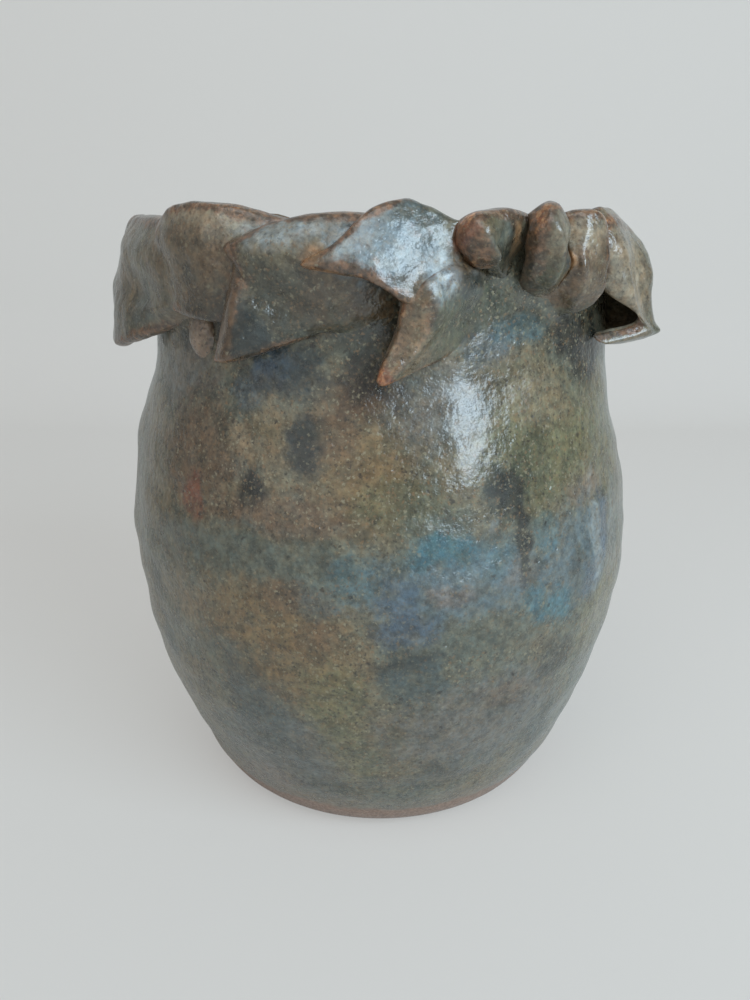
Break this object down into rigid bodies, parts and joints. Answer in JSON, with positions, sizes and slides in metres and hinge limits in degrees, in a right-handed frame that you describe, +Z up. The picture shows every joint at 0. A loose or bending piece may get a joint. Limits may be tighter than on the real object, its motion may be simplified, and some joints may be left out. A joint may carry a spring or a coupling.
{
  "type": "ceramic crock",
  "caption": "Hand-built stoneware crock for fermenting or storing food, with a rounded wall and a mouth ringed by folded, overlapping clay flaps.",
  "frame": {"origin": "centre of the flat foot, on the surface that the crock stands on", "axes": "+Z up along the pot's axis, -Y towards the front, +X to the right seen from the front"},
  "size_m": [0.1693, 0.1703, 0.1913],
  "materials": {
    "glazed_wall": "mottled satin glaze, blue-grey to ochre, over speckled stoneware",
    "glazed_flap": "olive-grey satin glaze that breaks to rust along the edges",
    "bare_clay": "unglazed fired stoneware, matt pinkish buff"
  },
  "bodies": {
    "root": {"base_slab": "bare_clay", "wall_course_1": "glazed_wall", "wall_course_2": "glazed_wall", "wall_course_3": "glazed_wall", "wall_course_4": "glazed_wall", "wall_course_5": "glazed_wall", "neck_course": "glazed_wall", "clay_wad": "bare_clay", "rim_flap_1": "glazed_flap", "rim_flap_2": "glazed_flap", "rim_flap_3": "glazed_flap", "rim_flap_4": "glazed_flap", "rim_flap_5": "glazed_flap", "rim_flap_6": "glazed_flap", "rim_flap_7": "glazed_flap", "rim_flap_8": "glazed_flap", "rim_flap_9": "glazed_flap", "rim_flap_10": "glazed_flap", "rim_flap_11": "glazed_flap", "rim_flap_12": "glazed_flap", "rim_flap_13": "glazed_flap", "rim_flap_14": "glazed_flap", "rim_flap_15": "glazed_flap", "rim_flap_16": "glazed_flap", "rim_flap_17": "glazed_flap", "rim_flap_18": "glazed_flap", "rim_flap_19": "glazed_flap"}
  },
  "joints": []
}
